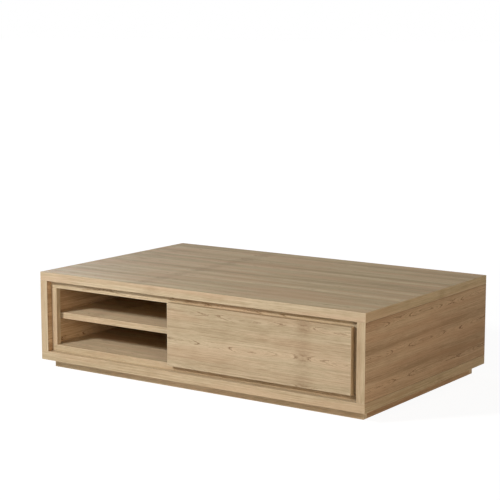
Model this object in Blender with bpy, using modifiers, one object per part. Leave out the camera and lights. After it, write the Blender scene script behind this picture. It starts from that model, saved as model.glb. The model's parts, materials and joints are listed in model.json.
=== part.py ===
"""Low oak coffee table, open from both long sides.

Each long side has a drawer on the right, as its user sees it, and a niche with
one shelf on the left. The two sides are the same half of the table turned half
a turn about the upright through its middle, with one partition between them.

Metres, +Z up. The origin is on the floor under the middle of the table, +X runs
along the table and -Y points out of the front. Every half is built in its own
frame: x to its user's right, y into the table, and "left" and "right" in a name
are those of the user who faces that side.
"""

import math

import bmesh
import bpy
from mathutils import Matrix, Vector

for old in list(bpy.data.objects):
    bpy.data.objects.remove(old, do_unlink=True)

# Whole table
TABLE_LENGTH = 1.200
TABLE_DEPTH = 0.750
CARCASS_HEIGHT = 0.285

# Carcass boards
TOP_THICKNESS = 0.028
BOTTOM_THICKNESS = 0.028
SIDE_THICKNESS = 0.028
PARTITION_THICKNESS = 0.019
DIVIDER_THICKNESS = 0.019
ARRIS = 0.0008

# Plinth under the carcass
PLINTH_HEIGHT = 0.028
PLINTH_THICKNESS = 0.018
PLINTH_SETBACK_END = 0.0245
PLINTH_SETBACK_FRONT = 0.037

# Frame let into each long side, as far behind the carcass edges as the drawer front needs
FRAME_DEPTH = 0.018
TOP_RAIL_HEIGHT = 0.023
BOTTOM_RAIL_HEIGHT = 0.021
STILE_WIDTH = 0.021

# Niche
SHELF_THICKNESS = 0.019
SHELF_SETBACK = 0.006
SHELF_PLAY = 0.0005
PEG_RADIUS = 0.003
PEG_LENGTH = 0.008
PEG_ROOT = 0.008
PEG_CHAMFER = 0.0007
PEG_INSET = 0.045

# Drawer front, laid over the frame with the same reveal on every side
DRAWER_FRONT_WIDTH = 0.644
DRAWER_FRONT_THICKNESS = 0.019
DRAWER_FRONT_CLEARANCE = 0.001
REVEAL = 0.018
MIDDLE_STILE_COVER = 0.001

# Drawer box, as long as its runners
BOX_SIDE_THICKNESS = 0.012
BOX_BACK_THICKNESS = 0.012
BOX_CLEARANCE_BELOW = 0.010
BOX_CLEARANCE_ABOVE = 0.024
DRAWER_BOTTOM_THICKNESS = 0.006
DRAWER_BOTTOM_RISE = 0.012
GROOVE_DEPTH = 0.006

# Full-extension ball runners, which leave a space before the partition
RUNNER_SPACE_BEHIND = 0.0435
RUNNER_WIDTH = 0.0127
RUNNER_SETBACK = 0.002
RUNNER_RISE = 0.060
CABINET_CHANNEL_HEIGHT = 0.045
CHANNEL_WALL = 0.0012
CHANNEL_BEND = 0.0024
CHANNEL_HOLE_RADIUS = 0.0023
CHANNEL_HOLE_INSET = 0.035
BALL_RADIUS = 0.00195
BALLS_PER_ROW = 6
CAGE_LENGTH = 0.140
CAGE_WALL = 0.0006
CAGE_BEND = 0.0012
CAGE_EDGE = 0.0006
PACKER_HEIGHT = 0.060

# Wooden dowels
CARCASS_DOWEL_RADIUS = 0.004
CARCASS_DOWEL_IN_PANEL = 0.016
CARCASS_DOWEL_IN_SIDE = 0.024
CARCASS_DOWEL_PITCH = 0.280
DRAWER_DOWEL_RADIUS = 0.003
DRAWER_DOWEL_IN_FACE = 0.009
DRAWER_DOWEL_IN_END = 0.018
DRAWER_DOWEL_INSET = 0.032

# Clearances: between glued or seated pieces, and between running ones
JOINT_GAP = 0.0003
SLIDE_GAP = 0.0003
OVERRUN = 0.002

ROUND_STEPS = 8
PEG_STEPS = 10
BEND_STEPS = 2
BALL_RINGS = 4

# Finishes: sRGB colour, roughness, metallic
OAK_TOP = ((172, 154, 128), 0.42, 0.0)
OAK_EDGE = ((205, 184, 150), 0.48, 0.0)
OAK_FACE = ((198, 177, 144), 0.46, 0.0)
OAK_END = ((152, 126, 94), 0.46, 0.0)
OAK_INSIDE = ((146, 118, 86), 0.50, 0.0)
OAK_PLINTH = ((150, 126, 92), 0.50, 0.0)
BIRCH = ((206, 180, 138), 0.55, 0.0)
ZINC = ((176, 178, 178), 0.34, 1.0)
CAGE_STEEL = ((150, 152, 150), 0.30, 1.0)

# Places worked out from the sizes, in a half's frame
half_length = TABLE_LENGTH / 2
front = -TABLE_DEPTH / 2
bay_low = PLINTH_HEIGHT + BOTTOM_THICKNESS
table_top = PLINTH_HEIGHT + CARCASS_HEIGHT
bay_high = table_top - TOP_THICKNESS
inner_x = half_length - SIDE_THICKNESS

frame_front = front + DRAWER_FRONT_THICKNESS + DRAWER_FRONT_CLEARANCE
frame_back = frame_front + FRAME_DEPTH
bottom_rail_top = bay_low + JOINT_GAP + BOTTOM_RAIL_HEIGHT
top_rail_low = bay_high - JOINT_GAP - TOP_RAIL_HEIGHT
partition_front = -PARTITION_THICKNESS / 2

drawer_front_right = inner_x - REVEAL
drawer_front_left = drawer_front_right - DRAWER_FRONT_WIDTH
drawer_front_back = frame_front - DRAWER_FRONT_CLEARANCE
bay_left = drawer_front_left + MIDDLE_STILE_COVER + STILE_WIDTH
bay_right = inner_x - JOINT_GAP - STILE_WIDTH
divider_left = bay_left - DIVIDER_THICKNESS

shelf_middle = (bottom_rail_top + top_rail_low) / 2
shelf_low = shelf_middle - SHELF_THICKNESS / 2
shelf_front = frame_back + SHELF_SETBACK
shelf_back = partition_front - SHELF_PLAY

runner_front = frame_front + RUNNER_SETBACK
runner_back = partition_front - RUNNER_SPACE_BEHIND
runner_length = runner_back - runner_front
runner_middle = (runner_front + runner_back) / 2
runner_space = JOINT_GAP + RUNNER_WIDTH + JOINT_GAP
box_left = bay_left + runner_space
box_right = bay_right - runner_space
box_front = drawer_front_back + JOINT_GAP
box_back = box_front + runner_length
box_low = bottom_rail_top + BOX_CLEARANCE_BELOW
box_high = top_rail_low - BOX_CLEARANCE_ABOVE
drawer_bottom_low = box_low + DRAWER_BOTTOM_RISE
drawer_bottom_high = drawer_bottom_low + DRAWER_BOTTOM_THICKNESS
drawer_back_low = drawer_bottom_high + JOINT_GAP

runner_height = box_low + RUNNER_RISE

# Section of a runner: distances out from the board that carries it, and half
# heights either side of its middle. Each channel nests in the one before it,
# with a row of balls above and below between the two.
race = 2 * BALL_RADIUS + 2 * SLIDE_GAP
cabinet_half = CABINET_CHANNEL_HEIGHT / 2
middle_half = cabinet_half - CHANNEL_WALL - race
drawer_half = middle_half - CHANNEL_WALL - race
outer_cage_half = middle_half + race / 2 + CAGE_WALL / 2
inner_cage_half = drawer_half + race / 2 + CAGE_WALL / 2
channel_lip = CHANNEL_WALL + race / 2 - CAGE_WALL / 2 - SLIDE_GAP

outer_cage_web = CHANNEL_WALL + SLIDE_GAP
middle_web = outer_cage_web + CAGE_WALL + SLIDE_GAP
inner_cage_web = middle_web + CHANNEL_WALL + SLIDE_GAP
drawer_mouth = inner_cage_web + CAGE_WALL + SLIDE_GAP
cabinet_mouth = RUNNER_WIDTH - 2 * SLIDE_GAP
middle_mouth = RUNNER_WIDTH - CHANNEL_WALL - SLIDE_GAP
outer_ball_line = (outer_cage_web + CAGE_WALL + cabinet_mouth - CHANNEL_WALL) / 2
inner_ball_line = (inner_cage_web + CAGE_WALL + middle_mouth - CHANNEL_WALL) / 2

parts = bpy.data.collections.new("coffee_table")
cutters = bpy.data.collections.new("cutters")
bpy.context.scene.collection.children.link(parts)
bpy.context.scene.collection.children.link(cutters)


def linear(value):
    """One sRGB channel, 0 to 255, as a linear value."""
    share = value / 255
    return share / 12.92 if share <= 0.04045 else ((share + 0.055) / 1.055) ** 2.4


def dress(piece, finish):
    """Gives a piece its own material."""
    colour, roughness, metallic = finish
    material = bpy.data.materials.new(piece.name + "_finish")
    material.use_nodes = True
    shader = material.node_tree.nodes["Principled BSDF"]
    shader.inputs["Base Color"].default_value = (*map(linear, colour), 1)
    shader.inputs["Roughness"].default_value = roughness
    shader.inputs["Metallic"].default_value = metallic
    piece.data.materials.clear()
    piece.data.materials.append(material)


def settle(piece, group, parent, place):
    """Moves a piece to its collection and stands it at a place in its half's frame."""
    for home in list(piece.users_collection):
        home.objects.unlink(piece)
    group.objects.link(piece)
    piece.parent = parent
    piece.location = Vector(place)
    if parent is not None and parent.get("holds_body"):
        piece.location = Vector(place) - parent.location


def empty(name, parent=None, place=(0, 0, 0), turn=0, holds_body=False):
    """An empty that pieces hang from: a half of the table, or a moving body."""
    marker = bpy.data.objects.new(name, None)
    parts.objects.link(marker)
    marker.parent = parent
    marker.location = place
    marker.rotation_euler.z = turn
    marker["holds_body"] = holds_body
    return marker


def block(name, low, high, group, parent):
    """A box between two corners, with its size applied."""
    low, high = Vector(low), Vector(high)
    bpy.ops.mesh.primitive_cube_add(size=1)
    piece = bpy.context.object
    piece.name = name
    piece.scale = high - low
    bpy.ops.object.transform_apply(location=False, rotation=False, scale=True)
    settle(piece, group, parent, (low + high) / 2)
    return piece


def board(name, low, high, finish, parent=None, arris=ARRIS):
    """A board with its sharp edges taken off."""
    piece = block(name, low, high, parts, parent)
    bevel = piece.modifiers.new("arris", "BEVEL")
    bevel.width = arris
    bevel.segments = 1
    bevel.limit_method = "ANGLE"
    dress(piece, finish)
    return piece


def as_tool(piece):
    """Marks a shape that only cuts or joins others."""
    piece.hide_render = True
    piece.display_type = "WIRE"
    return piece


def combine(piece, tool, operation):
    """Cuts a tool's shape out of a piece, or joins it on."""
    boolean = piece.modifiers.new(tool.name, "BOOLEAN")
    boolean.operation = operation
    boolean.solver = "EXACT"
    boolean.object = tool


def cut(piece, tool):
    combine(piece, tool, "DIFFERENCE")


def add_on(piece, tool):
    combine(piece, tool, "UNION")


def rods(name, rows, parent, grow=0):
    """Cylinders in one tool, each from one end point to the other.

    A row holds the two end points and the radius. With grow, every rod is that
    much fatter and longer at each end, as the bore that a rod of its row fits.
    """
    mesh = bmesh.new()
    for start, end, radius in rows:
        start, end = Vector(start), Vector(end)
        run = end - start
        turn = run.to_track_quat("Z", "Y").to_matrix().to_4x4()
        place = Matrix.Translation((start + end) / 2) @ turn
        bmesh.ops.create_cone(mesh, cap_ends=True, segments=ROUND_STEPS, radius1=radius + grow,
                              radius2=radius + grow, depth=run.length + 2 * grow, matrix=place)
    return tool_of(name, mesh, parent)


def tool_of(name, mesh, parent):
    """Makes a tool of a bmesh whose points are in the half's frame."""
    data = bpy.data.meshes.new(name)
    mesh.to_mesh(data)
    mesh.free()
    tool = bpy.data.objects.new(name, data)
    bpy.context.scene.collection.objects.link(tool)
    settle(tool, cutters, parent, (0, 0, 0))
    return as_tool(tool)


def turned(name, profile, steps):
    """Mesh of a turned shape about Z, from a profile that runs down its outer side."""
    data = bpy.data.meshes.new(name)
    points = [(radius, 0, height) for radius, height in profile]
    data.from_pydata(points, [(i, i + 1) for i in range(len(points) - 1)], [])
    shape = bpy.data.objects.new(name, data)
    bpy.context.scene.collection.objects.link(shape)
    screw = shape.modifiers.new("turn", "SCREW")
    screw.steps = screw.render_steps = steps
    screw.use_merge_vertices = True
    screw.merge_threshold = 0.00001
    return to_mesh(shape)


def to_mesh(shape):
    """The evaluated mesh of a curve or a turned shape, closed, with the shape removed."""
    bpy.context.view_layer.update()
    seen = shape.evaluated_get(bpy.context.evaluated_depsgraph_get())
    data = bpy.data.meshes.new_from_object(seen)
    data.name = shape.name
    work = bmesh.new()
    work.from_mesh(data)
    bmesh.ops.remove_doubles(work, verts=work.verts, dist=0.000001)
    bmesh.ops.recalc_face_normals(work, faces=work.faces)
    work.to_mesh(data)
    work.free()
    bpy.data.objects.remove(shape, do_unlink=True)
    return data


def channel_outline(web, mouth, half, wall, bend, lip):
    """Outline, in (x, z), of a channel with its web at x = web and its flanges out to mouth.

    The flanges end in lips turned inwards, unless lip is zero.
    """
    out = 1 if mouth > web else -1
    centre = (web + out * bend, half - bend)
    angles = [math.pi / 2 * step / BEND_STEPS for step in range(BEND_STEPS + 1)]
    outside = [(centre[0] - out * bend * math.cos(a), centre[1] + bend * math.sin(a)) for a in angles]
    fillet = bend - wall
    inside = [(centre[0] - out * fillet * math.cos(a), centre[1] + fillet * math.sin(a)) for a in angles]
    tip = [(mouth, half), (mouth, half - wall)]
    if lip > 0:
        tip = [(mouth, half), (mouth, half - lip),
               (mouth - out * wall, half - lip), (mouth - out * wall, half - wall)]
    upper = outside + tip + inside[::-1]
    return upper + [(x, -z) for x, z in reversed(upper)]


def section(name, outline, length, side, parent, finish):
    """A straight length of rolled section along y, at the runner on one side of the drawer."""
    curve = bpy.data.curves.new(name, "CURVE")
    curve.dimensions = "2D"
    curve.fill_mode = "BOTH"
    curve.extrude = length / 2
    spline = curve.splines.new("POLY")
    spline.points.add(len(outline) - 1)
    for point, (x, z) in zip(spline.points, outline):
        point.co = (side * x, z, 0, 1)
    spline.use_cyclic_u = True
    shape = bpy.data.objects.new(name, curve)
    bpy.context.scene.collection.objects.link(shape)
    data = to_mesh(shape)
    data.transform(Matrix.Rotation(math.pi / 2, 4, "X"))
    piece = bpy.data.objects.new(name, data)
    bpy.context.scene.collection.objects.link(piece)
    settle(piece, parts, parent, (carrier_face(side), runner_middle, runner_height))
    dress(piece, finish)
    return piece


def carrier_face(side):
    """x of the runner's back: side 1 stands on the divider, side -1 on the packer."""
    return bay_left + JOINT_GAP if side == 1 else bay_right - JOINT_GAP


def ball_places(side, line, height):
    """Centres of the balls above and below a channel."""
    pitch = CAGE_LENGTH / BALLS_PER_ROW
    first = runner_middle - CAGE_LENGTH / 2 + pitch / 2
    x = carrier_face(side) + side * line
    return [(x, first + pitch * step, runner_height + up * height)
            for up in (1, -1) for step in range(BALLS_PER_ROW)]


def ball_cage(name, web, half, line, hand, parent):
    """The cage between two channels: a strip with a row of balls in each of its flanges."""
    outline = channel_outline(web, line + BALL_RADIUS + CAGE_EDGE, half, CAGE_WALL, CAGE_BEND, 0)
    strip = section(name, outline, CAGE_LENGTH, hand, parent, CAGE_STEEL)
    balls = bmesh.new()
    for place in ball_places(hand, line, half - CAGE_WALL / 2):
        bmesh.ops.create_uvsphere(balls, u_segments=ROUND_STEPS, v_segments=BALL_RINGS,
                                  radius=BALL_RADIUS, matrix=Matrix.Translation(place))
    add_on(strip, tool_of(name + "_balls", balls, parent))


def dowel(piece, others, rows, parent):
    """Dowels glued in a piece, which stand out of it into bores in others."""
    add_on(piece, rods(piece.name + "_dowels", rows, parent))
    bores = rods(piece.name + "_bores", rows, parent, grow=JOINT_GAP)
    for other in others:
        cut(other, bores)


def carcass():
    """Top, bottom, partition and the middle plinth rail."""
    top = board("top_panel", (-half_length, front, bay_high), (half_length, -front, table_top), OAK_TOP)
    bottom = board("bottom_panel", (-half_length, front, PLINTH_HEIGHT), (half_length, -front, bay_low),
                   OAK_EDGE)
    board("centre_partition", (-inner_x + JOINT_GAP, partition_front, bay_low + JOINT_GAP),
          (inner_x - JOINT_GAP, -partition_front, bay_high - JOINT_GAP), OAK_INSIDE)
    near = front + PLINTH_SETBACK_FRONT + PLINTH_THICKNESS + JOINT_GAP
    board("plinth_centre_rail", (-PLINTH_THICKNESS / 2, near, 0),
          (PLINTH_THICKNESS / 2, -near, PLINTH_HEIGHT - JOINT_GAP), OAK_PLINTH)
    return top, bottom


def end_panel(end, half, panels):
    """The panel at a half's left, with dowels glued in its edges that enter the top and the bottom."""
    panel = board(f"{end}_side_panel", (-half_length, front, bay_low + JOINT_GAP),
                  (-inner_x, -front, bay_high - JOINT_GAP), OAK_END, half)
    x = -half_length + SIDE_THICKNESS / 2
    rows = []
    for y in (-CARCASS_DOWEL_PITCH, 0, CARCASS_DOWEL_PITCH):
        rows.append(((x, y, bay_high - CARCASS_DOWEL_IN_SIDE),
                     (x, y, bay_high + CARCASS_DOWEL_IN_PANEL), CARCASS_DOWEL_RADIUS))
        rows.append(((x, y, bay_low - CARCASS_DOWEL_IN_PANEL),
                     (x, y, bay_low + CARCASS_DOWEL_IN_SIDE), CARCASS_DOWEL_RADIUS))
    dowel(panel, panels, rows, half)
    return panel


def plinth(side, end, half):
    """The plinth rails under a half's front and its left."""
    left = -half_length + PLINTH_SETBACK_END
    near = front + PLINTH_SETBACK_FRONT
    high = PLINTH_HEIGHT - JOINT_GAP
    board(f"plinth_{side}_rail", (left, near, 0), (-left, near + PLINTH_THICKNESS, high), OAK_PLINTH, half)
    inset = near + PLINTH_THICKNESS + JOINT_GAP
    board(f"plinth_{end}_rail", (left, inset, 0), (left + PLINTH_THICKNESS, -inset, high), OAK_PLINTH, half)


def frame(side, half):
    """Two rails across the whole opening with three stiles between them."""
    left = -inner_x + JOINT_GAP
    right = inner_x - JOINT_GAP
    board(f"{side}_top_rail", (left, frame_front, top_rail_low), (right, frame_back, bay_high - JOINT_GAP),
          OAK_FACE, half)
    board(f"{side}_bottom_rail", (left, frame_front, bay_low + JOINT_GAP),
          (right, frame_back, bottom_rail_top), OAK_FACE, half)
    stiles = {"left": left, "middle": bay_left - STILE_WIDTH, "right": bay_right}
    for word, x in stiles.items():
        board(f"{side}_{word}_stile", (x, frame_front, bottom_rail_top + JOINT_GAP),
              (x + STILE_WIDTH, frame_back, top_rail_low - JOINT_GAP), OAK_FACE, half)


def niche(side, half, end_board):
    """Divider, raised floor and the shelf, which lies on four pegs."""
    near = frame_back + JOINT_GAP
    far = partition_front - JOINT_GAP
    divider = board(f"{side}_divider", (divider_left, near, bay_low + JOINT_GAP),
                    (bay_left, far, bay_high - JOINT_GAP), OAK_INSIDE, half)
    board(f"{side}_niche_floor", (-inner_x + JOINT_GAP, near, bay_low + JOINT_GAP),
          (divider_left - JOINT_GAP, far, bottom_rail_top), OAK_INSIDE, half)
    board(f"{side}_shelf", (-inner_x + SHELF_PLAY, shelf_front, shelf_low),
          (divider_left - SHELF_PLAY, shelf_back, shelf_low + SHELF_THICKNESS), OAK_FACE, half)
    shelf_pegs(f"{side}_end_pegs", end_board, -inner_x, 1, half)
    shelf_pegs(f"{side}_divider_pegs", divider, divider_left, -1, half)


def shelf_pegs(name, carrier, face, out, half):
    """Two turned pegs that stand out of a board's face under the shelf's end, pressed into the board."""
    profile = [(0, PEG_LENGTH), (PEG_RADIUS - PEG_CHAMFER, PEG_LENGTH),
               (PEG_RADIUS, PEG_LENGTH - PEG_CHAMFER), (PEG_RADIUS, -PEG_ROOT), (0, -PEG_ROOT)]
    peg = turned(name, profile, PEG_STEPS)
    height = shelf_low - JOINT_GAP - PEG_RADIUS
    work = bmesh.new()
    for y in (shelf_front + PEG_INSET, shelf_back - PEG_INSET):
        copy = peg.copy()
        turn = Matrix.Rotation(out * math.pi / 2, 4, "Y")
        copy.transform(Matrix.Translation((face, y, height)) @ turn)
        work.from_mesh(copy)
        bpy.data.meshes.remove(copy)
    bpy.data.meshes.remove(peg)
    add_on(carrier, tool_of(name, work, half))


def drawer_box(side, body):
    """Front, two sides, back and a bottom that slides into grooves from behind."""
    face = board(f"{side}_drawer_front",
                 (drawer_front_left, drawer_front_back - DRAWER_FRONT_THICKNESS, bay_low + REVEAL),
                 (drawer_front_right, drawer_front_back, bay_high - REVEAL), OAK_FACE, body)
    inner_left = box_left + BOX_SIDE_THICKNESS
    inner_right = box_right - BOX_SIDE_THICKNESS
    left = board(f"{side}_drawer_left_side", (box_left, box_front, box_low),
                 (inner_left, box_back, box_high), BIRCH, body)
    right = board(f"{side}_drawer_right_side", (inner_right, box_front, box_low),
                  (box_right, box_back, box_high), BIRCH, body)
    back = board(f"{side}_drawer_back",
                 (inner_left + JOINT_GAP, box_back - BOX_BACK_THICKNESS, drawer_back_low),
                 (inner_right - JOINT_GAP, box_back, box_high), BIRCH, body)
    groove_left = inner_left - GROOVE_DEPTH
    groove_right = inner_right + GROOVE_DEPTH
    groove_front = drawer_front_back - GROOVE_DEPTH
    board(f"{side}_drawer_bottom",
          (groove_left + JOINT_GAP, groove_front + JOINT_GAP, drawer_bottom_low),
          (groove_right - JOINT_GAP, box_back, drawer_bottom_high), BIRCH, body)
    groove = block(f"{side}_drawer_groove",
                   (groove_left, groove_front, drawer_bottom_low - JOINT_GAP),
                   (groove_right, box_back + OVERRUN, drawer_bottom_high + JOINT_GAP), cutters, body)
    as_tool(groove)
    for piece in (left, right, face):
        cut(piece, groove)
    dowel_heights = (drawer_back_low + DRAWER_DOWEL_INSET, box_high - DRAWER_DOWEL_INSET)
    for piece, middle in ((left, (box_left + inner_left) / 2), (right, (box_right + inner_right) / 2)):
        rows = [((middle, drawer_front_back - DRAWER_DOWEL_IN_FACE, z),
                 (middle, box_front + DRAWER_DOWEL_IN_END, z), DRAWER_DOWEL_RADIUS) for z in dowel_heights]
        dowel(piece, (face,), rows, body)
    y = box_back - BOX_BACK_THICKNESS / 2
    rows = [((inner - inwards * DRAWER_DOWEL_IN_FACE, y, z),
             (inner + inwards * DRAWER_DOWEL_IN_END, y, z), DRAWER_DOWEL_RADIUS)
            for inner, inwards in ((inner_left, 1), (inner_right, -1)) for z in dowel_heights]
    dowel(back, (left, right), rows, body)


def screw_holes(piece, hand, x, parent):
    """Two round holes through the web of a channel, near its ends."""
    rows = []
    for y in (runner_front + CHANNEL_HOLE_INSET, runner_back - CHANNEL_HOLE_INSET):
        rows.append(((carrier_face(hand) + hand * (x - OVERRUN), y, runner_height),
                     (carrier_face(hand) + hand * (x + OVERRUN), y, runner_height), CHANNEL_HOLE_RADIUS))
    cut(piece, rods(piece.name + "_holes", rows, parent))


def runners(side, half, drawer, middles, outer_cages, inner_cages):
    """Left and right runner of a drawer: three nested channels and two ball cages each."""
    board(f"{side}_runner_packer",
          (bay_right, frame_back + JOINT_GAP, runner_height - PACKER_HEIGHT / 2),
          (inner_x - JOINT_GAP, runner_back, runner_height + PACKER_HEIGHT / 2), BIRCH, half)
    cabinet = channel_outline(0, cabinet_mouth, cabinet_half, CHANNEL_WALL, CHANNEL_BEND, channel_lip)
    middle = channel_outline(middle_web, middle_mouth, middle_half, CHANNEL_WALL, CHANNEL_BEND, channel_lip)
    inner = channel_outline(RUNNER_WIDTH, drawer_mouth, drawer_half, CHANNEL_WALL, CHANNEL_BEND, 0)
    for hand, word in ((1, "left"), (-1, "right")):
        runner = f"{side}_{word}"
        fixed = section(f"{runner}_cabinet_channel", cabinet, runner_length, hand, half, ZINC)
        screw_holes(fixed, hand, CHANNEL_WALL / 2, half)
        section(f"{runner}_middle_channel", middle, runner_length, hand, middles, ZINC)
        moving = section(f"{runner}_drawer_channel", inner, runner_length, hand, drawer, ZINC)
        screw_holes(moving, hand, RUNNER_WIDTH - CHANNEL_WALL / 2, drawer)
        ball_cage(f"{runner}_outer_ball_cage", outer_cage_web, outer_cage_half, outer_ball_line, hand,
                  outer_cages)
        ball_cage(f"{runner}_inner_ball_cage", inner_cage_web, inner_cage_half, inner_ball_line, hand,
                  inner_cages)


def half_table(side, end, turn, panels):
    """One long side: niche at its left, drawer at its right, and the end panel at its left."""
    half = empty(f"{side}_half", turn=turn)
    end_board = end_panel(end, half, panels)
    plinth(side, end, half)
    frame(side, half)
    niche(side, half, end_board)
    slide_line = ((box_left + box_right) / 2, drawer_front_back, runner_height)
    bodies = [empty(f"{side}_{word}", half, slide_line, holds_body=True)
              for word in ("drawer", "middle_channels", "outer_cages", "inner_cages")]
    drawer_box(side, bodies[0])
    runners(side, half, *bodies)


panels = carcass()
half_table("front", "left", 0, panels)
half_table("back", "right", math.pi, panels)
bpy.context.view_layer.update()
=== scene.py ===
# Looks of the oak coffee table: veneered boards, birch drawer boxes, steel runners, studio.
# Lengths are in metres; +X runs along the table, -Y points out of the front, +Z is up.

import json
import math
import bpy
import numpy as np
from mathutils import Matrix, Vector


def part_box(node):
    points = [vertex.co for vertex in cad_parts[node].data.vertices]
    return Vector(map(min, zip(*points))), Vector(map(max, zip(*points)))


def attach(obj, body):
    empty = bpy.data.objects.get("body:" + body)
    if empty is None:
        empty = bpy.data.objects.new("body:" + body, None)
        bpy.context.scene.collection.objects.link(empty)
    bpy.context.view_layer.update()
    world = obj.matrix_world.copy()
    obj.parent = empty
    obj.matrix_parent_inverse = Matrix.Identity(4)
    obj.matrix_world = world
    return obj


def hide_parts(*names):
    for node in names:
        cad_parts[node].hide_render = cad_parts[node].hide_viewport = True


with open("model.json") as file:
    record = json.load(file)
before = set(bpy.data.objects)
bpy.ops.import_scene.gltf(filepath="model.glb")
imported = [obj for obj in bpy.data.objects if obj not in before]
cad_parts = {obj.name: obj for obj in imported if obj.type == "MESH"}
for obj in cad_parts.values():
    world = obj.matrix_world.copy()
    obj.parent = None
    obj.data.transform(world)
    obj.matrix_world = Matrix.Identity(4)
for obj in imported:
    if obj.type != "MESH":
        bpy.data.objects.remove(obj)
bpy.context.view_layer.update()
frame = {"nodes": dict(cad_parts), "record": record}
nodes = frame["nodes"]
print("frame loaded:", len(nodes), "nodes")


# Nodes and colours

mmInMetre = 1000.0
mixFirst, mixSecond, mixResult = 6, 7, 2      # a Mix node's sockets when it mixes colours
noiseLow, noiseHigh = 0.3, 0.7                # most of a noise lies between these


def linearColour(hexText):
    # sRGB hex to linear, each channel by the standard curve
    share = np.array([int(hexText[i:i + 2], 16) for i in (1, 3, 5)]) / 255
    curved = np.where(share <= 0.04045, share / 12.92, ((share + 0.055) / 1.055) ** 2.4)
    return (*curved.tolist(), 1.0)


def addNode(tree, kind, links=None, **settings):
    # one node: settings by name, then each input by name or number, from a socket or a value
    node = tree.nodes.new("ShaderNode" + kind)
    for name, value in settings.items():
        setattr(node, name, value)
    for key, value in (links or {}).items():
        if isinstance(value, bpy.types.NodeSocket):
            tree.links.new(value, node.inputs[key])
        else:
            node.inputs[key].default_value = value
    return node


def newMaterial(name):
    material = bpy.data.materials.new(name)
    material.use_nodes = True
    tree = material.node_tree
    tree.nodes.clear()
    return material, tree


def closeMaterial(tree, shaderLinks):
    shader = addNode(tree, "BsdfPrincipled", shaderLinks)
    addNode(tree, "OutputMaterial", {"Surface": shader.outputs[0]})


# Oak figure, in millimetres on the leaf of veneer: u runs with the grain, v across it.
# The leaves are slip matched, each sliced nearly along the rings: the rings are tubes round a
# pith that runs just under the middle of the leaf, so the middle shows long pointed arches and
# the sides straight lines. Their porous early wood is a row of dark ragged strokes.

figure = {
    "leafWidth": 88.0,        # one leaf of veneer, across the grain
    "leafSlip": 2.0,          # how far each leaf is shifted along the grain
    "leafChange": 0.11,       # how much the noise changes from leaf to leaf
    "pithWander": 7.0,        # how far the arches leave the middle of the leaf
    "pithNear": 3.0,          # the pith's least and most depth under the face
    "pithFar": 19.0,
    "ringSpacing": 2.4,
    "ragDepth": 1.3,          # teeth of a ring line
    "swayReach": 1.7,         # slow bends of a ring line
    "knotPitch": 1100.0,      # one knot in each stretch this long
    "knotLength": 8.0,
    "knotWidth": 4.0,
    "knotBend": 2.5,          # how far the rings bend round it
}

# Noise stretched along the grain, on the leaf or on the whole board: length and width of its
# blotches in millimetres, seed, detail and roughness
figureNoise = {
    "wander": ("leaf", 230, 900, 0.0, 2, 0.5),
    "deepen": ("leaf", 330, 900, 7.7, 1, 0.5),
    "rag": ("leaf", 8, 3, 3.1, 3, 0.65),
    "sway": ("leaf", 95, 14, 5.5, 2, 0.5),
    "pores": ("leaf", 13, 2, 15.1, 2, 0.6),
    "patch": ("leaf", 75, 30, 21.9, 1, 0.5),
    "smoke": ("leaf", 12, 4, 31.0, 3, 0.5),
    "broad": ("board", 900, 42, 41.0, 1, 0.5),
    "band": ("leaf", 500, 14, 42.0, 2, 0.5),
    "narrow": ("leaf", 320, 4.2, 43.0, 3, 0.55),
    "short": ("leaf", 36, 2.0, 45.0, 2, 0.6),
    "cloud": ("board", 60, 30, 46.0, 2, 0.5),
    "thin": ("leaf", 160, 1.4, 47.0, 2, 0.5),
    "fibre": ("leaf", 14, 0.5, 51.0, 3, 0.7),
    "warm": ("board", 420, 40, 67.0, 2, 0.5),
}

# Steps of the figure: result, what the node does and its inputs, which are numbers or the names
# of earlier results. RAMP is a smooth step from one range to another; the others are sums by
# their usual names. First the place on the leaf:
leafSteps = (
    ("leafCount", "DIVIDE", "across", figure["leafWidth"]),
    ("leaf", "FLOOR", "leafCount"),
    ("leafShare", "FRACT", "leafCount"),
    ("inLeaf", "MULTIPLY_ADD", "leafShare", figure["leafWidth"], -figure["leafWidth"] / 2),
    ("slid", "MULTIPLY_ADD", "leaf", figure["leafSlip"], "along"),
    ("leafSeed", "MULTIPLY", "leaf", figure["leafChange"]),
)

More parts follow.
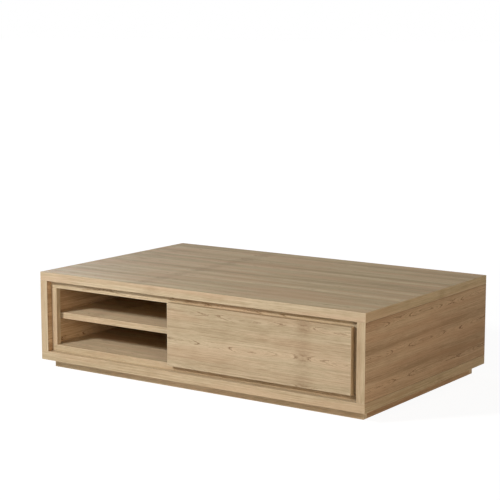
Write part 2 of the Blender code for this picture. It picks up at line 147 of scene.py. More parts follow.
# then, from the noises at that place, what the wood shows
figureSteps = (
    ("drift", "MULTIPLY_ADD", "wander", 4 * figure["pithWander"], -2 * figure["pithWander"]),
    ("offset", "SUBTRACT", "inLeaf", "drift"),
    ("aside", "ABSOLUTE", "offset"),
    ("depth", "RAMP", "deepen", 0.25, 0.75, figure["pithNear"], figure["pithFar"]),

    # knot: how far a point is from it, in knot lengths and widths
    ("knotTurn", "PINGPONG", "slid", figure["knotPitch"]),
    ("knotAlong", "SUBTRACT", "knotTurn", figure["knotPitch"] / 2),
    ("knotNear", "ABSOLUTE", "knotAlong"),
    ("knotRun", "DIVIDE", "knotAlong", figure["knotLength"]),
    ("knotRise", "DIVIDE", "offset", figure["knotWidth"]),
    ("knotRunSquare", "MULTIPLY", "knotRun", "knotRun"),
    ("knotSquare", "MULTIPLY_ADD", "knotRise", "knotRise", "knotRunSquare"),
    ("knotReach", "SQRT", "knotSquare"),
    ("knotPush", "RAMP", "knotReach", 0.0, 6.0, figure["knotBend"], 0.0),

    # rings: radius = square root of offset squared + depth squared, then bent and ragged
    ("depthSquare", "MULTIPLY", "depth", "depth"),
    ("radiusSquare", "MULTIPLY_ADD", "offset", "offset", "depthSquare"),
    ("radius", "SQRT", "radiusSquare"),
    ("ragged", "MULTIPLY_ADD", "rag", 2 * figure["ragDepth"], "radius"),
    ("swayed", "MULTIPLY_ADD", "sway", 2 * figure["swayReach"], "ragged"),
    ("bent", "ADD", "swayed", "knotPush"),
    ("count", "DIVIDE", "bent", figure["ringSpacing"]),
    ("ring", "FRACT", "count"),
    ("year", "FLOOR", "count"),
    ("yearTurn", "MULTIPLY", "year", 2.4),                 # radians, so neighbours differ
    ("yearLuck", "SINE", "yearTurn"),
    ("rise", "RAMP", "ring", 0.0, 0.12, 0.0, 1.0),         # early wood: sharp start, slow end
    ("fall", "RAMP", "ring", 0.22, 0.6, 1.0, 0.0),
    ("early", "MULTIPLY", "rise", "fall"),
    ("strokes", "RAMP", "pores", 0.36, 0.60, 0.35, 1.0),
    ("stroked", "MULTIPLY", "early", "strokes"),
    ("middle", "RAMP", "aside", 3.0, 15.0, 1.0, 0.0),      # arches: bold here, faint elsewhere
    ("shown", "RAMP", "patch", 0.34, 0.54, 0.3, 1.0),
    ("strong", "RAMP", "yearLuck", -0.8, 0.3, 0.25, 1.0),
    ("faint", "RAMP", "yearLuck", 0.0, 1.0, 0.05, 0.36),
    ("middleShown", "MULTIPLY", "middle", "shown"),
    ("boldShare", "MULTIPLY", "middleShown", "strong"),
    ("share", "MAXIMUM", "boldShare", "faint"),
    ("lines", "MULTIPLY", "stroked", "share"),
    ("flecks", "RAMP", "fibre", 0.55, 0.72, 0.0, 0.4),     # single pores, seen from close by
    ("Line", "MAXIMUM", "lines", "flecks"),

    # a shade right across the leaf where the knot is, with a darker streaky heart
    ("shadeAlong", "RAMP", "knotNear", 2.0, 38.0, 1.0, 0.0),
    ("shadeAcross", "RAMP", "aside", 3.0, 30.0, 1.0, 0.5),
    ("shadeSmoke", "RAMP", "smoke", 0.3, 0.7, 0.45, 1.0),
    ("shadeFull", "MULTIPLY", "shadeAlong", "shadeAcross"),
    ("shade", "MULTIPLY", "shadeFull", "shadeSmoke"),
    ("shadePart", "MULTIPLY", "shade", 0.68),
    ("heart", "RAMP", "knotReach", 0.3, 1.8, 0.25, 0.0),
    ("Knot", "MAXIMUM", "shadePart", "heart"),

    # tone: half, and each noise's share of it; the middle of an arch is paler
    ("toneNarrow", "MULTIPLY_ADD", "narrow", 1.1, -1.53),
    ("toneShort", "MULTIPLY_ADD", "short", 1.0, "toneNarrow"),
    ("toneCloud", "MULTIPLY_ADD", "cloud", 0.4, "toneShort"),
    ("toneThin", "MULTIPLY_ADD", "thin", 1.45, "toneCloud"),
    ("Tone", "MULTIPLY_ADD", "middleShown", 0.26, "toneThin"),

    # long bands, paler and darker by up to half, and warmer patches
    ("bandBroad", "MULTIPLY_ADD", "broad", 1.35, -0.975),
    ("Band", "MULTIPLY_ADD", "band", 0.6, "bandBroad"),
    ("Blush", "RAMP", "warm", 0.40, 0.64, 0.0, 1.0),
)


def oakFigure():
    tree = bpy.data.node_groups.new("oakFigure", "ShaderNodeTree")
    tree.interface.new_socket("Grain", in_out="INPUT", socket_type="NodeSocketVector")
    entry = tree.nodes.new("NodeGroupInput")
    leave = tree.nodes.new("NodeGroupOutput")

    # where the point is on its board, then on its leaf, in millimetres
    place = addNode(tree, "VectorMath", {0: entry.outputs["Grain"],
                                         1: (mmInMetre, mmInMetre, 0.0)}, operation="MULTIPLY")
    split = addNode(tree, "SeparateXYZ", {0: place.outputs[0]})
    results = {"along": split.outputs[0], "across": split.outputs[1]}

    def follow(steps):
        for name, step, *values in steps:
            links = {i: results[value] if isinstance(value, str) else value
                     for i, value in enumerate(values)}
            kind, settings = "Math", {"operation": step}
            if step == "RAMP":
                kind, settings = "MapRange", {"interpolation_type": "SMOOTHSTEP"}
            results[name] = addNode(tree, kind, links, **settings).outputs[0]

    follow(leafSteps)
    onLeaf = addNode(tree, "CombineXYZ", {0: results["slid"], 1: results["inLeaf"],
                                          2: results["leafSeed"]})
    grounds = {"leaf": onLeaf.outputs[0], "board": place.outputs[0]}
    for name, (ground, length, width, seed, detail, rough) in figureNoise.items():
        spot = addNode(tree, "VectorMath", {0: grounds[ground], 1: (1 / length, 1 / width, 1.0),
                                            2: (0.0, 0.0, seed)}, operation="MULTIPLY_ADD")
        noise = addNode(tree, "TexNoise", {"Vector": spot.outputs[0], "Scale": 1.0,
                                           "Detail": float(detail), "Roughness": rough})
        results[name] = noise.outputs[0]
    follow(figureSteps)
    results["Fibre"] = results["fibre"]      # the fibres also go to sheen and relief
    for word in ("Tone", "Band", "Line", "Knot", "Fibre", "Blush"):
        tree.interface.new_socket(word, in_out="OUTPUT", socket_type="NodeSocketFloat")
        tree.links.new(results[word], leave.inputs[word])
    return tree


oakTree = oakFigure()

# What all the oak shares
oak = {
    "lineShare": 0.9,         # how far the wood turns to the line colour there
    "knotShare": 0.66,
    "rubWidth": 0.25,         # width of the rim by an arris, as a share of its reach
    "duller": 0.07,           # in open fibres, and the other way in closed ones
    "shinier": 0.05,
    "relief": 0.0002,
    "reliefShare": 0.25,
    "index": 1.46,            # oil in wood
    "gloss": 0.2,
}


def oakMaterial(name, colours, roughness, bands=0.65, contrast=1.0, blush=0.34,
                rim=("light", 0.35)):
    # oiled oak veneer: a dull sheen, pale wood in long bands, brown ragged lines of pores
    material, tree = newMaterial(name)
    grainMap = addNode(tree, "UVMap", uv_map="grain")
    shows = addNode(tree, "Group", {0: grainMap.outputs[0]}, node_tree=oakTree).outputs
    tone = addNode(tree, "Math", {0: shows["Band"], 1: bands, 2: shows["Tone"]},
                   operation="MULTIPLY_ADD")
    wood = addNode(tree, "ValToRGB", {0: tone.outputs[0]})
    wood.color_ramp.elements.new(0.5)
    stops = ((0.0, colours["dark"]), (0.5, colours["middle"]), (1.0, colours["light"]))
    for element, (place, colour) in zip(wood.color_ramp.elements, stops):
        element.position = place
        element.color = linearColour(colour)
    # a pale rim along the arrises: painted highlight on the edges, with some wear; on the ends
    # the rim is dark instead and draws the joints
    arrisNode = addNode(tree, "Attribute", attribute_name="arris")
    rimMask = addNode(tree, "MapRange", {"Value": arrisNode.outputs["Fac"], "From Max": oak["rubWidth"],
                                     "To Min": 1.0, "To Max": 0.0})
    colour = wood.outputs[0]
    for shade, amount, share in (("blush", shows["Blush"], blush),
                                 ("line", shows["Line"], oak["lineShare"] * contrast),
                                 ("line", shows["Knot"], oak["knotShare"] * contrast),
                                 (rim[0], rimMask.outputs[0], rim[1])):
        part = addNode(tree, "Math", {0: amount, 1: share}, operation="MULTIPLY")
        mix = addNode(tree, "Mix", {"Factor": part.outputs[0], mixFirst: colour,
                                    mixSecond: linearColour(colours[shade])}, data_type="RGBA")
        colour = mix.outputs[mixResult]
    relief = addNode(tree, "Math", {0: shows["Fibre"], 1: shows["Line"]}, operation="SUBTRACT")
    bump = addNode(tree, "Bump", {"Height": relief.outputs[0], "Strength": oak["reliefShare"],
                                  "Distance": oak["relief"]})
    sheen = addNode(tree, "MapRange", {"Value": shows["Fibre"], "From Min": noiseLow,
                                       "From Max": noiseHigh,
                                       "To Min": roughness + oak["duller"],
                                       "To Max": roughness - oak["shinier"]})
    closeMaterial(tree, {"Base Color": colour, "Roughness": sheen.outputs[0], "IOR": oak["index"],
                         "Specular IOR Level": oak["gloss"], "Normal": bump.outputs[0]})
    return material


# Veneers differ a little in colour from board to board, and some palettes also carry painted
# light and shade: darker ends and niche walls, a paler shelf and plinth. Each gives the wood at
# its lightest, middling and darkest, its pore lines, and its warm patches
paleOak = {"light": "#d7c4a4", "middle": "#c3b090", "dark": "#a69070", "line": "#80603f",
           "blush": "#c7a586"}
# browner, redder veneer for the ends: partly its own tone, partly painted shade
endOakPartShaded = {"light": "#d0b48e", "middle": "#bda07d", "dark": "#9d805d", "line": "#73502f",
          "blush": "#bd946f"}
# a darker veneer for the centre partition and divider: painted shade for the depth of the niche
wallOakPaintedShade = {"light": "#b89d78", "middle": "#a68b68", "dark": "#896f4e", "line": "#64462a",
           "blush": "#a8815e"}
# the palest veneer, for the shelf and the plinth: painted light that lifts the shade in the niche
# and under the overhang
shelfOakPaintedLight = {"light": "#e7d5b5", "middle": "#d5c1a0", "dark": "#b8a280", "line": "#8d6d4a",
            "blush": "#d8b392"}
bandOak = {"light": "#d8c29c", "middle": "#c5b08a", "dark": "#a8926d", "line": "#836444",
           "blush": "#c8a17d"}
edgeOak = {"light": "#dbc9ab", "middle": "#c8b697", "dark": "#ab9777", "line": "#836444",
           "blush": "#cba689"}
drawerOak = {"light": "#d2c0a1", "middle": "#beac8e", "dark": "#a18d6f", "line": "#7b5e40",
             "blush": "#c5a386"}
calmOak = {"light": "#d3c099", "middle": "#bfab85", "dark": "#a28b66", "line": "#7c5c39",
           "blush": "#c3a07b"}

sanded, planed = 0.62, 0.66       # roughness of the oiled faces, and of those inside or below

# top: strong long bands with a warm blush, its lines and knots a little quieter
oakTop = oakMaterial("oakVeneerTop", calmOak, sanded, bands=1.5, contrast=0.85, blush=0.6)
# edge bands: thin strips with quieter lines; those on the panel ends are yellower
oakTopEdge = oakMaterial("oakEdgeBandTop", edgeOak, sanded, contrast=0.7)
oakEdge = oakMaterial("oakEdgeBand", paleOak, sanded, contrast=0.7)
oakEndBand = oakMaterial("oakEdgeBandEnd", bandOak, sanded, contrast=0.7)
# drawer front and frame: the paleness of fresh oak, full lines
oakDrawer = oakMaterial("oakVeneerDrawer", drawerOak, sanded, blush=0.3)
oakFace = oakMaterial("oakVeneerOiled", paleOak, sanded)
# ends: browner, partly their own tone and partly painted shade, strongly figured, with a dark rim
# that draws the joints
oakEndPartShaded = oakMaterial("oakVeneerEnd", endOakPartShaded, sanded, bands=1.3, contrast=1.2, rim=("line", 0.5))
# niche, shelf and plinth: duller, quieter lines; the shelf and the plinth in the palest veneer,
# painted light that lifts their shade
oakInside = oakMaterial("oakVeneerInside", edgeOak, planed, contrast=0.8)
oakShelfPaintedLight = oakMaterial("oakVeneerShelf", shelfOakPaintedLight, planed, contrast=0.8)
oakPlinthPaintedLight = oakMaterial("oakVeneerPlinth", shelfOakPaintedLight, planed, contrast=0.8)
# plinth ends: the browner end veneer, partly own tone and partly painted shade
oakPlinthEndPartShaded = oakMaterial("oakVeneerPlinthEnd", endOakPartShaded, planed, contrast=0.8)
# centre partition and divider: darker veneer, painted shade in the niche
oakWallPaintedShade = oakMaterial("oakVeneerWall", wallOakPaintedShade, planed, contrast=0.8)
print("oak ready")

# Birch plywood; sizes in millimetres
birch = {
    "fleckLength": 60.0,
    "fleckWidth": 2.5,
    "cloudLength": 180.0,
    "cloudWidth": 45.0,
    "spread": (0.75, 1.25),   # of both noises' sum, from the deep colour to the pale one
    "ply": 1.3,               # every other one shows end grain and is darker
    "plyShare": 0.75,
    "plySides": (0.35, 0.65),      # how softly one ply turns into the next
    "rubWidth": 0.2,
    "rubShare": 0.3,
    "pale": "#e2cba4",
    "deep": "#c9ad83",
    "endGrain": "#a98455",
    "rubbed": "#ead7b5",
    "dull": 0.6,
    "shiny": 0.5,
    "relief": 0.0001,         # metres
    "reliefShare": 0.15,
    "index": 1.46,
}


def birchMaterial(name, plies):
    # birch plywood, lacquered thin: cream with faint flecks; its edges show the plies
    material, tree = newMaterial(name)
    grainMap = addNode(tree, "UVMap", uv_map="grain").outputs[0]
    noises = []
    for word, detail in (("fleck", 4.0), ("cloud", 2.0)):
        stretch = addNode(tree, "Mapping", {"Vector": grainMap,
                                            "Scale": (mmInMetre / birch[word + "Length"],
                                                      mmInMetre / birch[word + "Width"], 1.0)})
        noise = addNode(tree, "TexNoise", {"Vector": stretch.outputs[0], "Scale": 1.0,
                                           "Detail": detail})
        noises.append(noise.outputs[0])
    fleck, cloud = noises
    both = addNode(tree, "Math", {0: fleck, 1: cloud}, operation="ADD")
    spread = addNode(tree, "MapRange", {"Value": both.outputs[0], "From Min": birch["spread"][0],
                                        "From Max": birch["spread"][1]})
    shown = addNode(tree, "Mix", {"Factor": spread.outputs[0],
                                  mixFirst: linearColour(birch["deep"]),
                                  mixSecond: linearColour(birch["pale"])}, data_type="RGBA")
    if plies:
        split = addNode(tree, "SeparateXYZ", {0: grainMap})
        turn = addNode(tree, "Math", {0: split.outputs[1], 1: mmInMetre / (2 * birch["ply"])},
                       operation="MULTIPLY")
        layer = addNode(tree, "Math", {0: turn.outputs[0], 1: 1.0}, operation="PINGPONG")
        dark = addNode(tree, "MapRange", {"Value": layer.outputs[0],
                                          "From Min": birch["plySides"][0],
                                          "From Max": birch["plySides"][1],
                                          "To Max": birch["plyShare"]},
                       interpolation_type="SMOOTHSTEP")
        shown = addNode(tree, "Mix", {"Factor": dark.outputs[0],
                                      mixFirst: shown.outputs[mixResult],
                                      mixSecond: linearColour(birch["endGrain"])},
                        data_type="RGBA")
    arrisNode = addNode(tree, "Attribute", attribute_name="arris")
    rimMask = addNode(tree, "MapRange", {"Value": arrisNode.outputs["Fac"], "From Max": birch["rubWidth"],
                                     "To Min": birch["rubShare"], "To Max": 0.0})
    shown = addNode(tree, "Mix", {"Factor": rimMask.outputs[0], mixFirst: shown.outputs[mixResult],
                                  mixSecond: linearColour(birch["rubbed"])}, data_type="RGBA")
    bump = addNode(tree, "Bump", {"Height": fleck, "Strength": birch["reliefShare"],
                                  "Distance": birch["relief"]})
    dull = addNode(tree, "MapRange", {"Value": fleck, "From Min": noiseLow,
                                      "From Max": noiseHigh, "To Min": birch["dull"],
                                      "To Max": birch["shiny"]})
    closeMaterial(tree, {"Base Color": shown.outputs[mixResult], "Roughness": dull.outputs[0],
                         "IOR": birch["index"], "Normal": bump.outputs[0]})
    return material


birchFace = birchMaterial("birchPlyLacquered", False)
birchEdge = birchMaterial("birchPlyEdge", True)
print("birch ready")


# Boards: a box whose arrises are quarter rounds, as a grid on each of its six faces

boardShape = {
    "arris": 0.0008,
    "turns": 3,               # steps of the round on one face
    "wearReach": 0.010,       # how far the rim can reach from an arris: wear, and on the oak also painted highlight
    "wearShare": 0.42,        # the same on a narrow face, as a share of its width
    "otherSide": 0.031,       # opposite faces of a board show other veneer
    "weldsInMetre": 1e7,      # points nearer than one of these are one point
}
jointGap = 0.0003             # between boards that meet


def gridLines(length):
    # places across a face: closer at the ends, by the tangent of equal angles, then a line at the
    # reach of the rim by the arris
    angles = np.linspace(math.pi / 4, 0, boardShape["turns"] + 1)
    near = boardShape["arris"] * (1 - np.tan(angles))
    reach = min(boardShape["wearReach"], length * boardShape["wearShare"])
    near = np.append(near, reach)
    return np.concatenate([near, length - near[::-1]])


def boardMesh(name, low, high, offsets):
    # each face is a grid of points q on the box; the surface is c + arris * (q - c) / |q - c|,
    # where c is q clamped to the box drawn in by the arris on every side
    arris = boardShape["arris"]
    low, high = np.array(low, float), np.array(high, float)
    size = high - low
    points, normals, uvs, arrisNearness, quads, kinds = [], [], [], [], [], []
    # 0 for the axis of the broadest faces, 1 for that of the long edges, 2 for that of the ends
    facesBySize = list(np.argsort([-np.prod(np.delete(size, axis)) for axis in range(3)]))
    base = 0
    for axis in range(3):
        first, second = [other for other in range(3) if other != axis]
        a, b = gridLines(size[first]), gridLines(size[second])
        gridA, gridB = np.meshgrid(a, b, indexing="ij")
        rows, columns = gridA.shape
        edge = np.minimum(np.minimum(gridA, size[first] - gridA),
                          np.minimum(gridB, size[second] - gridB))
        kind = facesBySize.index(axis)
        alongAxis = first if size[first] >= size[second] else second
        acrossAxis = second if alongAxis == first else first
        u0, v0 = offsets["face"] if kind == 0 else offsets["edge"]
        for end in (0, 1):
            q = np.zeros((rows * columns, 3))
            q[:, first] = low[first] + gridA.ravel()
            q[:, second] = low[second] + gridB.ravel()
            q[:, axis] = high[axis] if end else low[axis]
            centre = np.clip(q, low + arris, high - arris)
            out = q - centre
            out /= np.linalg.norm(out, axis=1, keepdims=True)
            place = centre + arris * out
            index = np.arange(rows * columns).reshape(rows, columns) + base
            corners = np.stack([index[:-1, :-1], index[1:, :-1], index[1:, 1:],
                                index[:-1, 1:]], -1).reshape(-1, 4)
            turned = (axis == 1) != (end == 0)
            quads.append(corners[:, ::-1] if turned else corners)
            across = high[acrossAxis] - place[:, acrossAxis] + v0 + end * boardShape["otherSide"]
            uvs.append(np.stack([place[:, alongAxis] - low[alongAxis] + u0, across], -1))
            points.append(place)
            normals.append(out)
            arrisNearness.append(np.clip(edge.ravel() / boardShape["wearReach"], 0, 1))
            kinds.append(np.full(len(corners), kind))
            base += rows * columns
    points, normals, uvs = map(np.concatenate, (points, normals, uvs))
    quads, arrisNearness, kinds = map(np.concatenate, (quads, arrisNearness, kinds))
    # the six grids share their rims, which are welded: one point for each place
    keys = np.round(points * boardShape["weldsInMetre"]).astype(np.int64)
    firstUse, back = np.unique(keys, axis=0, return_index=True, return_inverse=True)[1:]
    back = back.reshape(-1)
    mesh = bpy.data.meshes.new(name)
    mesh.from_pydata(points[firstUse], [], back[quads])
    layer = mesh.uv_layers.new(name="grain")
    layer.data.foreach_set("uv", uvs[quads].astype(np.float32).ravel())
    arrisLayer = mesh.attributes.new("arris", "FLOAT", "POINT")
    arrisLayer.data.foreach_set("value", arrisNearness[firstUse].astype(np.float32))
    mesh.polygons.foreach_set("material_index", kinds.astype(np.int32))
    mesh.polygons.foreach_set("use_smooth", np.ones(len(kinds), bool))
    mesh.normals_split_custom_set_from_vertices(normals[firstUse].tolist())
    mesh.update()
    return mesh


def addPiece(mesh, body, materials, replaced=()):
    piece = bpy.data.objects.new(mesh.name, mesh)
    bpy.context.scene.collection.objects.link(piece)
    for material in materials:
        mesh.materials.append(material)
    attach(piece, body)
    if replaced:
        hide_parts(*replaced)


bodyOf = {node: body for body, names in frame["record"]["behaviour"]["bodies"].items()
          for node in names}
slotOf = {row["node"]: row["material_slot"] for row in frame["record"]["subparts"]}

# Materials of a board's broadest faces, its long edges and its ends
boardLooks = {
    "top": (oakTop, oakTopEdge, oakEndBand),
    "bottom": (oakFace, oakEdge, oakEndBand),
    "end": (oakEndPartShaded, oakEdge, oakEdge),
    "frame": (oakFace, oakEdge, oakEdge),
    "drawer": (oakDrawer, oakEdge, oakEdge),
    "inside": (oakInside, oakEdge, oakEdge),
    "wall": (oakWallPaintedShade, oakEdge, oakEdge),
    "shelf": (oakShelfPaintedLight, oakEdge, oakEdge),
    "plinth": (oakPlinthPaintedLight, oakPlinthPaintedLight, oakPlinthPaintedLight),
    "plinth end": (oakPlinthEndPartShaded, oakPlinthEndPartShaded, oakPlinthEndPartShaded),
    "birch": (birchFace, birchEdge, birchEdge),
}

# A board's look goes by its own name, or else by its slot
lookOf = {
    "bottom_panel": "bottom",
    "left_side_panel": "end",
    "right_side_panel": "end",
    "centre_partition": "wall",
    "divider": "wall",
    "shelf": "shelf",
    "drawer_front": "drawer",
    "plinth_left_rail": "plinth end",
    "plinth_right_rail": "plinth end",
    "top_veneer": "top",
    "face_veneer": "frame",
    "inside_veneer": "inside",
    "plinth_veneer": "plinth",
    "drawer_birch": "birch",
}

# Which stretch of the veneer a board shows, along and across the grain in metres: on its broadest
# faces, and on its edges
grainPlaces = {
    "top_panel": ((0.145, 0.012), (2.3, 0.066)),
    "bottom_panel": ((1.90, 0.02), (1.2, 0.070)),
    "right_side_panel": ((0.72, -0.093), (0.4, 0.068)),
    "left_side_panel": ((4.10, 0.083), (0.7, 0.068)),
    "drawer_front": ((0.062, 0.024), (0.9, 0.070)),
    "top_rail": ((3.30, 0.033), (3.30, 0.033)),
    "bottom_rail": ((3.90, 0.070), (3.90, 0.070)),
    "shelf": ((2.6, 0.08), (2.2, 0.072)),
}

# The other boards are cut one after the other from leaves of this length, in metres
nextPlace = {"length": 5, "faceStep": 0.77, "faceAcross": 0.06, "edgeStep": 0.53,
             "edgeAcross": 0.068}

# Boards that carry dowels or pegs are as long as their own wood only: the side or sides that are
# drawn in, and the node whose face ends the wood there
woodEnds = {
    "left_side_panel": (("z", "bottom_panel", "top_panel"), ("x", None, "front_left_stile")),
    "right_side_panel": (("z", "bottom_panel", "top_panel"), ("x", "front_right_stile", None)),
    "drawer_left_side": (("y", "drawer_front", None),),
    "drawer_right_side": (("y", "drawer_front", None),),
    "drawer_back": (("x", "drawer_left_side", "drawer_right_side"),),
    "divider": (("x", "shelf", None),),
}


def woodBox(node, side, word):
    low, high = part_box(node)
    prefix = side + "_" if side in ("front", "back") else ""
    for axisName, below, above in woodEnds.get(word, ()):
        axis = "xyz".index(axisName)
        if side == "back":
            below, above = above, below
        if below:
            low[axis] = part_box(prefix + below)[1][axis] + jointGap
        if above:
            high[axis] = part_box(prefix + above)[0][axis] - jointGap
    return low, high


def woodenBoards():
    count = 0
    for node, slot in slotOf.items():
        side, word = node.split("_", 1)
        word = word if side in ("front", "back") else node
        look = lookOf.get(word, lookOf.get(slot))
        if not look:
            continue
        low, high = woodBox(node, side, word)
        places = grainPlaces.get(word, (
            (count * nextPlace["faceStep"] % nextPlace["length"], nextPlace["faceAcross"]),
            (count * nextPlace["edgeStep"] % nextPlace["length"], nextPlace["edgeAcross"])))
        mesh = boardMesh(node + "_board", low, high, dict(zip(("face", "edge"), places)))
        addPiece(mesh, bodyOf[node], boardLooks[look], (node,))
        count += 1
    print("boards:", count)


woodenBoards()


# Steel parts: runners and their cages stay as the frame has them; pegs and screws are turned here

steel = {
    "cloudLength": 40.0,      # millimetres
    "cloudWidth": 14.0,
    "spread": (0.12, 0.42),   # of lines times cloud, from the dark colour to the pale one
    "duller": 0.08,
    "shinier": 0.06,
    "relief": 0.00004,        # metres
    "reliefShare": 0.2,
}


def steelMaterial(name, pale, dark, rough, along, across):
    # fine lines along Y from the mill's rolls, over a soft cloudiness: their length and width in
    # millimetres
    material, tree = newMaterial(name)
    spot = addNode(tree, "TexCoord")
    noises = []
    for length, width, detail in ((along, across, 3.0),
                                  (steel["cloudLength"], steel["cloudWidth"], 2.0)):
        stretch = addNode(tree, "Mapping", {"Vector": spot.outputs["Object"],
                                            "Scale": (mmInMetre / width, mmInMetre / length,
                                                      mmInMetre / width)})
        noise = addNode(tree, "TexNoise", {"Vector": stretch.outputs[0], "Scale": 1.0,
                                           "Detail": detail})
        noises.append(noise.outputs[0])
    lines, cloud = noises
    both = addNode(tree, "Math", {0: lines, 1: cloud}, operation="MULTIPLY")
    spread = addNode(tree, "MapRange", {"Value": both.outputs[0], "From Min": steel["spread"][0],
                                        "From Max": steel["spread"][1]})
    colour = addNode(tree, "Mix", {"Factor": spread.outputs[0], mixFirst: linearColour(dark),
                                   mixSecond: linearColour(pale)}, data_type="RGBA")
    dull = addNode(tree, "MapRange", {"Value": cloud, "From Min": noiseLow,
                                      "From Max": noiseHigh, "To Min": rough + steel["duller"],
                                      "To Max": rough - steel["shinier"]})
    bump = addNode(tree, "Bump", {"Height": lines, "Strength": steel["reliefShare"],
                                  "Distance": steel["relief"]})
    closeMaterial(tree, {"Base Color": colour.outputs[mixResult], "Metallic": 1.0,
                         "Roughness": dull.outputs[0], "Normal": bump.outputs[0]})
    return material


# runners, zinc plated: bluish and soft; cages, bright strip: pale and shiny; pegs and screws,
# turned: a little warmer, with short tool marks
zincSteel = steelMaterial("zincPlatedSteel", "#c3c6c8", "#9b9fa3", 0.32, 30.0, 0.35)
stripSteel = steelMaterial("brightStripSteel", "#d2d3d3", "#a9aaab", 0.24, 12.0, 0.5)
turnedSteel = steelMaterial("turnedSteel", "#cfcfcd", "#a2a19e", 0.28, 3.0, 0.6)
metalOf = {"runner_steel": zincSteel, "cage_steel": stripSteel}

for node, slot in slotOf.items():
    if slot in metalOf:
        nodes[node].data.materials.clear()
        nodes[node].data.materials.append(metalOf[slot])

peg = {
    "radius": 0.003,
    "length": 0.008,
    "round": 0.0007,          # of the tip
    "roundSteps": 5,
    "inset": 0.045,           # from the shelf's front and back
    "reveal": 0.0005,         # from the shelf's end to the panel that holds it
    "sides": 24,
}
screw = {
    "radius": 0.0036,
    "height": 0.0018,
    "domeSteps": 6,
    "rimHeight": 0.35,        # share of the height that is rim
    "crown": 0.25,            # share of the radius that is flat
    "socket": 0.0011,
    "socketTaper": 0.8,
    "depth": 0.0012,
    "inset": 0.035,           # from the channel's ends
    "web": 0.0012,            # thickness of the channel that it sits on
    "sides": 24,
}


def turnedMesh(name, profile, starts, outwards, sides):
    # profile rows are (distance out from the face, radius); each is swept round the X axis at
    # every start, with a flat face at both ends
    profile = np.array(profile)
    turn = np.linspace(0, 2 * math.pi, sides, endpoint=False)
    points, faces = [], []
    for start, out in zip(starts, outwards):
        base = sum(len(block) for block in points)
        x = np.repeat(profile[:, 0] * out, sides)
        y = np.outer(profile[:, 1], np.cos(turn)).ravel()
        z = np.outer(profile[:, 1], np.sin(turn)).ravel()
        points.append(np.stack([x, y, z], -1) + np.array(start))
        index = base + np.arange(len(profile) * sides).reshape(-1, sides)
        ring = np.roll(index, -1, axis=1)
        quads = np.stack([index[:-1], index[1:], ring[1:], ring[:-1]], -1).reshape(-1, 4)
        facing = slice(None, None, 1 if out < 0 else -1)
        faces += quads[:, facing].tolist()
        faces.append(index[-1][::-1][facing].tolist())
        faces.append(index[0][facing].tolist())
    mesh = bpy.data.meshes.new(name)
    mesh.from_pydata(np.concatenate(points), [], faces)
    return mesh


def shelfPegs():
    # a plain pin with a rounded tip: distance and radius follow a quarter circle there
    tip = np.linspace(0, math.pi / 2, peg["roundSteps"])
    profile = [(0.0, peg["radius"])]
    profile += [(peg["length"] - peg["round"] * (1 - math.sin(angle)),
                 peg["radius"] - peg["round"] * (1 - math.cos(angle))) for angle in tip]
    for side in ("front", "back"):
        low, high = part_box(side + "_shelf")
        starts, outwards = [], []
        for x, out in ((low.x - peg["reveal"], 1), (high.x + peg["reveal"], -1)):
            for y in (low.y + peg["inset"], high.y - peg["inset"]):
                starts.append((x, y, low.z - jointGap - peg["radius"]))
                outwards.append(out)
        mesh = turnedMesh(side + "_shelf_pegs", profile, starts, outwards, peg["sides"])
        addPiece(mesh, "carcass", (turnedSteel,))


def runnerScrews():
    # pan heads in the drawer channels: a rim, a dome by a quarter ellipse, and a tapered socket
    # for the driver
    rise = np.linspace(0, math.pi / 2, screw["domeSteps"])[:-1]
    rim, crown = screw["rimHeight"], screw["crown"]
    profile = [(0.0, screw["radius"])]
    profile += [(screw["height"] * (rim + (1 - rim) * math.sin(angle)),
                 screw["radius"] * (crown + (1 - crown) * math.cos(angle))) for angle in rise]
    profile += [(screw["height"], screw["socket"]),
                (screw["height"] - screw["depth"], screw["socket"] * screw["socketTaper"])]
    for side in ("front", "back"):
        bottomLow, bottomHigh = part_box(side + "_drawer_bottom")
        middle = (bottomLow.x + bottomHigh.x) / 2
        starts, outwards = [], []
        for hand in ("left", "right"):
            low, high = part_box(f"{side}_{hand}_drawer_channel")
            out = -1 if low.x < middle else 1
            web = high.x - screw["web"] if out < 0 else low.x + screw["web"]
            for y in (low.y + screw["inset"], high.y - screw["inset"]):
                starts.append((web, y, (low.z + high.z) / 2))
                outwards.append(out)
        mesh = turnedMesh(side + "_runner_screws", profile, starts, outwards, screw["sides"])
        addPiece(mesh, side + "_drawer", (turnedSteel,))


shelfPegs()
runnerScrews()
print("steel ready")


# Studio

# A small key lamp to the left of the front draws the crisp shadows of frame and drawer, and a
# wide weak one high above it softens them. A warm lamp lights the right end, backLeft the left
# end and the sheen on the top, and backRight the back. A linear lamp fades with the distance, not
# with its square, as if it stood further away.
lamps = {
    "key": {"place": (-1.14, -2.44, 1.63), "aim": (0.0, 0.0, 0.15), "size": 0.36, "power": 20.6,
            "colour": "#ffffff", "linear": True},
    "frontSoft": {"place": (-0.6, -4.0, 4.2), "aim": (0.0, 0.0, 0.15), "size": 3.0,
                  "power": 14.0, "colour": "#ffffff", "linear": False},
    "rightWarm": {"place": (5.2, -3.6, 1.3), "aim": (0.4, 0.0, 0.15), "size": 2.5,
                  "power": 132.0, "colour": "#ffebd4", "linear": False},
    "backLeft": {"place": (-6.5, 4.5, 1.6), "aim": (0.0, 0.0, 0.2), "size": 2.0, "power": 212.0,
                 "colour": "#ecf1ff", "linear": False},
    "backRight": {"place": (0.6, 6.5, 1.0), "aim": (0.0, 0.3, 0.15), "size": 2.5, "power": 80.0,
                  "colour": "#fff4e6", "linear": False},
}


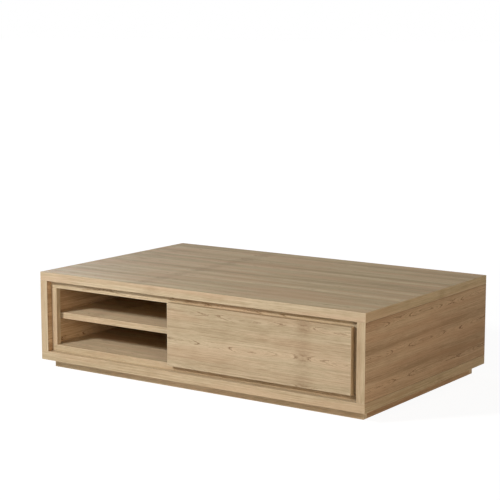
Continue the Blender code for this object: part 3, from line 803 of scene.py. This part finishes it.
def addLamp(name, row):
    lamp = bpy.data.lights.new(name, "AREA")
    lamp.energy = row["power"]
    lamp.size = row["size"]
    lamp.color = linearColour(row["colour"])[:3]
    if row["linear"]:
        lamp.use_nodes = True
        tree = lamp.node_tree
        tree.nodes.clear()
        falloff = addNode(tree, "LightFalloff", {"Strength": 1.0})
        glow = addNode(tree, "Emission", {"Strength": falloff.outputs["Linear"]})
        addNode(tree, "OutputLight", {"Surface": glow.outputs[0]})
    holder = bpy.data.objects.new(name, lamp)
    holder.location = row["place"]
    way = Vector(row["aim"]) - Vector(row["place"])
    holder.rotation_euler = way.to_track_quat("-Z", "Y").to_euler()
    holder.visible_camera = False
    bpy.context.scene.collection.objects.link(holder)


studio = {
    "skyShare": 0.05,         # light from the sky, against the white that the camera sees
    "floorShade": 0.17,       # as the camera sees it
    "floorBounce": 0.80,      # as the table is lit by it
    "floorGlow": 0.93,        # near the table, where the paper shows the lamps' light too
    "floorGlowFar": 1.0,
    "floorNear": 1.2,         # the glow grows between these distances
    "floorFar": 3.5,
    "floorReach": 60.0,
}


def seenRays(tree):
    # 1 for rays from the camera, and for those that metal or glass sends on
    path = addNode(tree, "LightPath").outputs
    glossy = addNode(tree, "Math", {0: path["Is Camera Ray"], 1: path["Is Glossy Ray"]},
                     operation="MAXIMUM")
    seen = addNode(tree, "Math", {0: glossy.outputs[0], 1: path["Is Transmission Ray"]},
                   operation="MAXIMUM")
    return seen.outputs[0]


def addSky():
    world = bpy.data.worlds.new("studio")
    bpy.context.scene.world = world
    world.use_nodes = True
    tree = world.node_tree
    tree.nodes.clear()
    strength = addNode(tree, "MapRange", {"Value": seenRays(tree), "To Min": studio["skyShare"],
                                          "To Max": 1.0})
    light = addNode(tree, "Background", {"Color": (1, 1, 1, 1), "Strength": strength.outputs[0]})
    addNode(tree, "OutputWorld", {"Surface": light.outputs[0]})


def addFloor():
    # white studio paper: to the camera mostly glow, so that it is white and keeps a faint shadow,
    # and to the table plain matt paper
    material, tree = newMaterial("floorPaper")
    seen = seenRays(tree)
    shade = addNode(tree, "MapRange", {"Value": seen, "To Min": studio["floorBounce"],
                                       "To Max": studio["floorShade"]})
    paper = addNode(tree, "BsdfDiffuse", {"Color": shade.outputs[0]})
    spot = addNode(tree, "TexCoord")
    away = addNode(tree, "VectorMath", {0: spot.outputs["Object"]}, operation="LENGTH")
    level = addNode(tree, "MapRange", {"Value": away.outputs["Value"],
                                       "From Min": studio["floorNear"],
                                       "From Max": studio["floorFar"],
                                       "To Min": studio["floorGlow"],
                                       "To Max": studio["floorGlowFar"]},
                    interpolation_type="SMOOTHSTEP")
    power = addNode(tree, "Math", {0: seen, 1: level.outputs[0]}, operation="MULTIPLY")
    glow = addNode(tree, "Emission", {"Color": (1, 1, 1, 1), "Strength": power.outputs[0]})
    both = addNode(tree, "AddShader", {0: paper.outputs[0], 1: glow.outputs[0]})
    addNode(tree, "OutputMaterial", {"Surface": both.outputs[0]})
    reach = studio["floorReach"]
    mesh = bpy.data.meshes.new("floor")
    mesh.from_pydata([(-reach, -reach, 0), (reach, -reach, 0), (reach, reach, 0),
                      (-reach, reach, 0)], [], [(0, 1, 2, 3)])
    mesh.materials.append(material)
    floor = bpy.data.objects.new("floor", mesh)
    bpy.context.scene.collection.objects.link(floor)


# As fitted to the table's edges in the photo; angles in degrees
camera = {
    "place": (2.6210, -3.8493, 1.1079),
    "yaw": 34.709,
    "pitch": 8.792,
    "focal": 1490.86 / 500,   # in widths of the picture
    "sensor": 36.0,           # millimetres
    "farthest": 200.0,
}


def addCamera():
    data = bpy.data.cameras.new("camera")
    data.sensor_width = camera["sensor"]
    data.lens = camera["focal"] * camera["sensor"]
    data.clip_end = camera["farthest"]
    holder = bpy.data.objects.new("camera", data)
    holder.location = camera["place"]
    holder.rotation_euler = (math.radians(90 - camera["pitch"]), 0, math.radians(camera["yaw"]))
    bpy.context.scene.collection.objects.link(holder)
    bpy.context.scene.camera = holder


for name, row in lamps.items():
    addLamp(name, row)
addSky()
addFloor()
addCamera()
bpy.context.scene.view_settings.view_transform = "Standard"
print("studio ready")
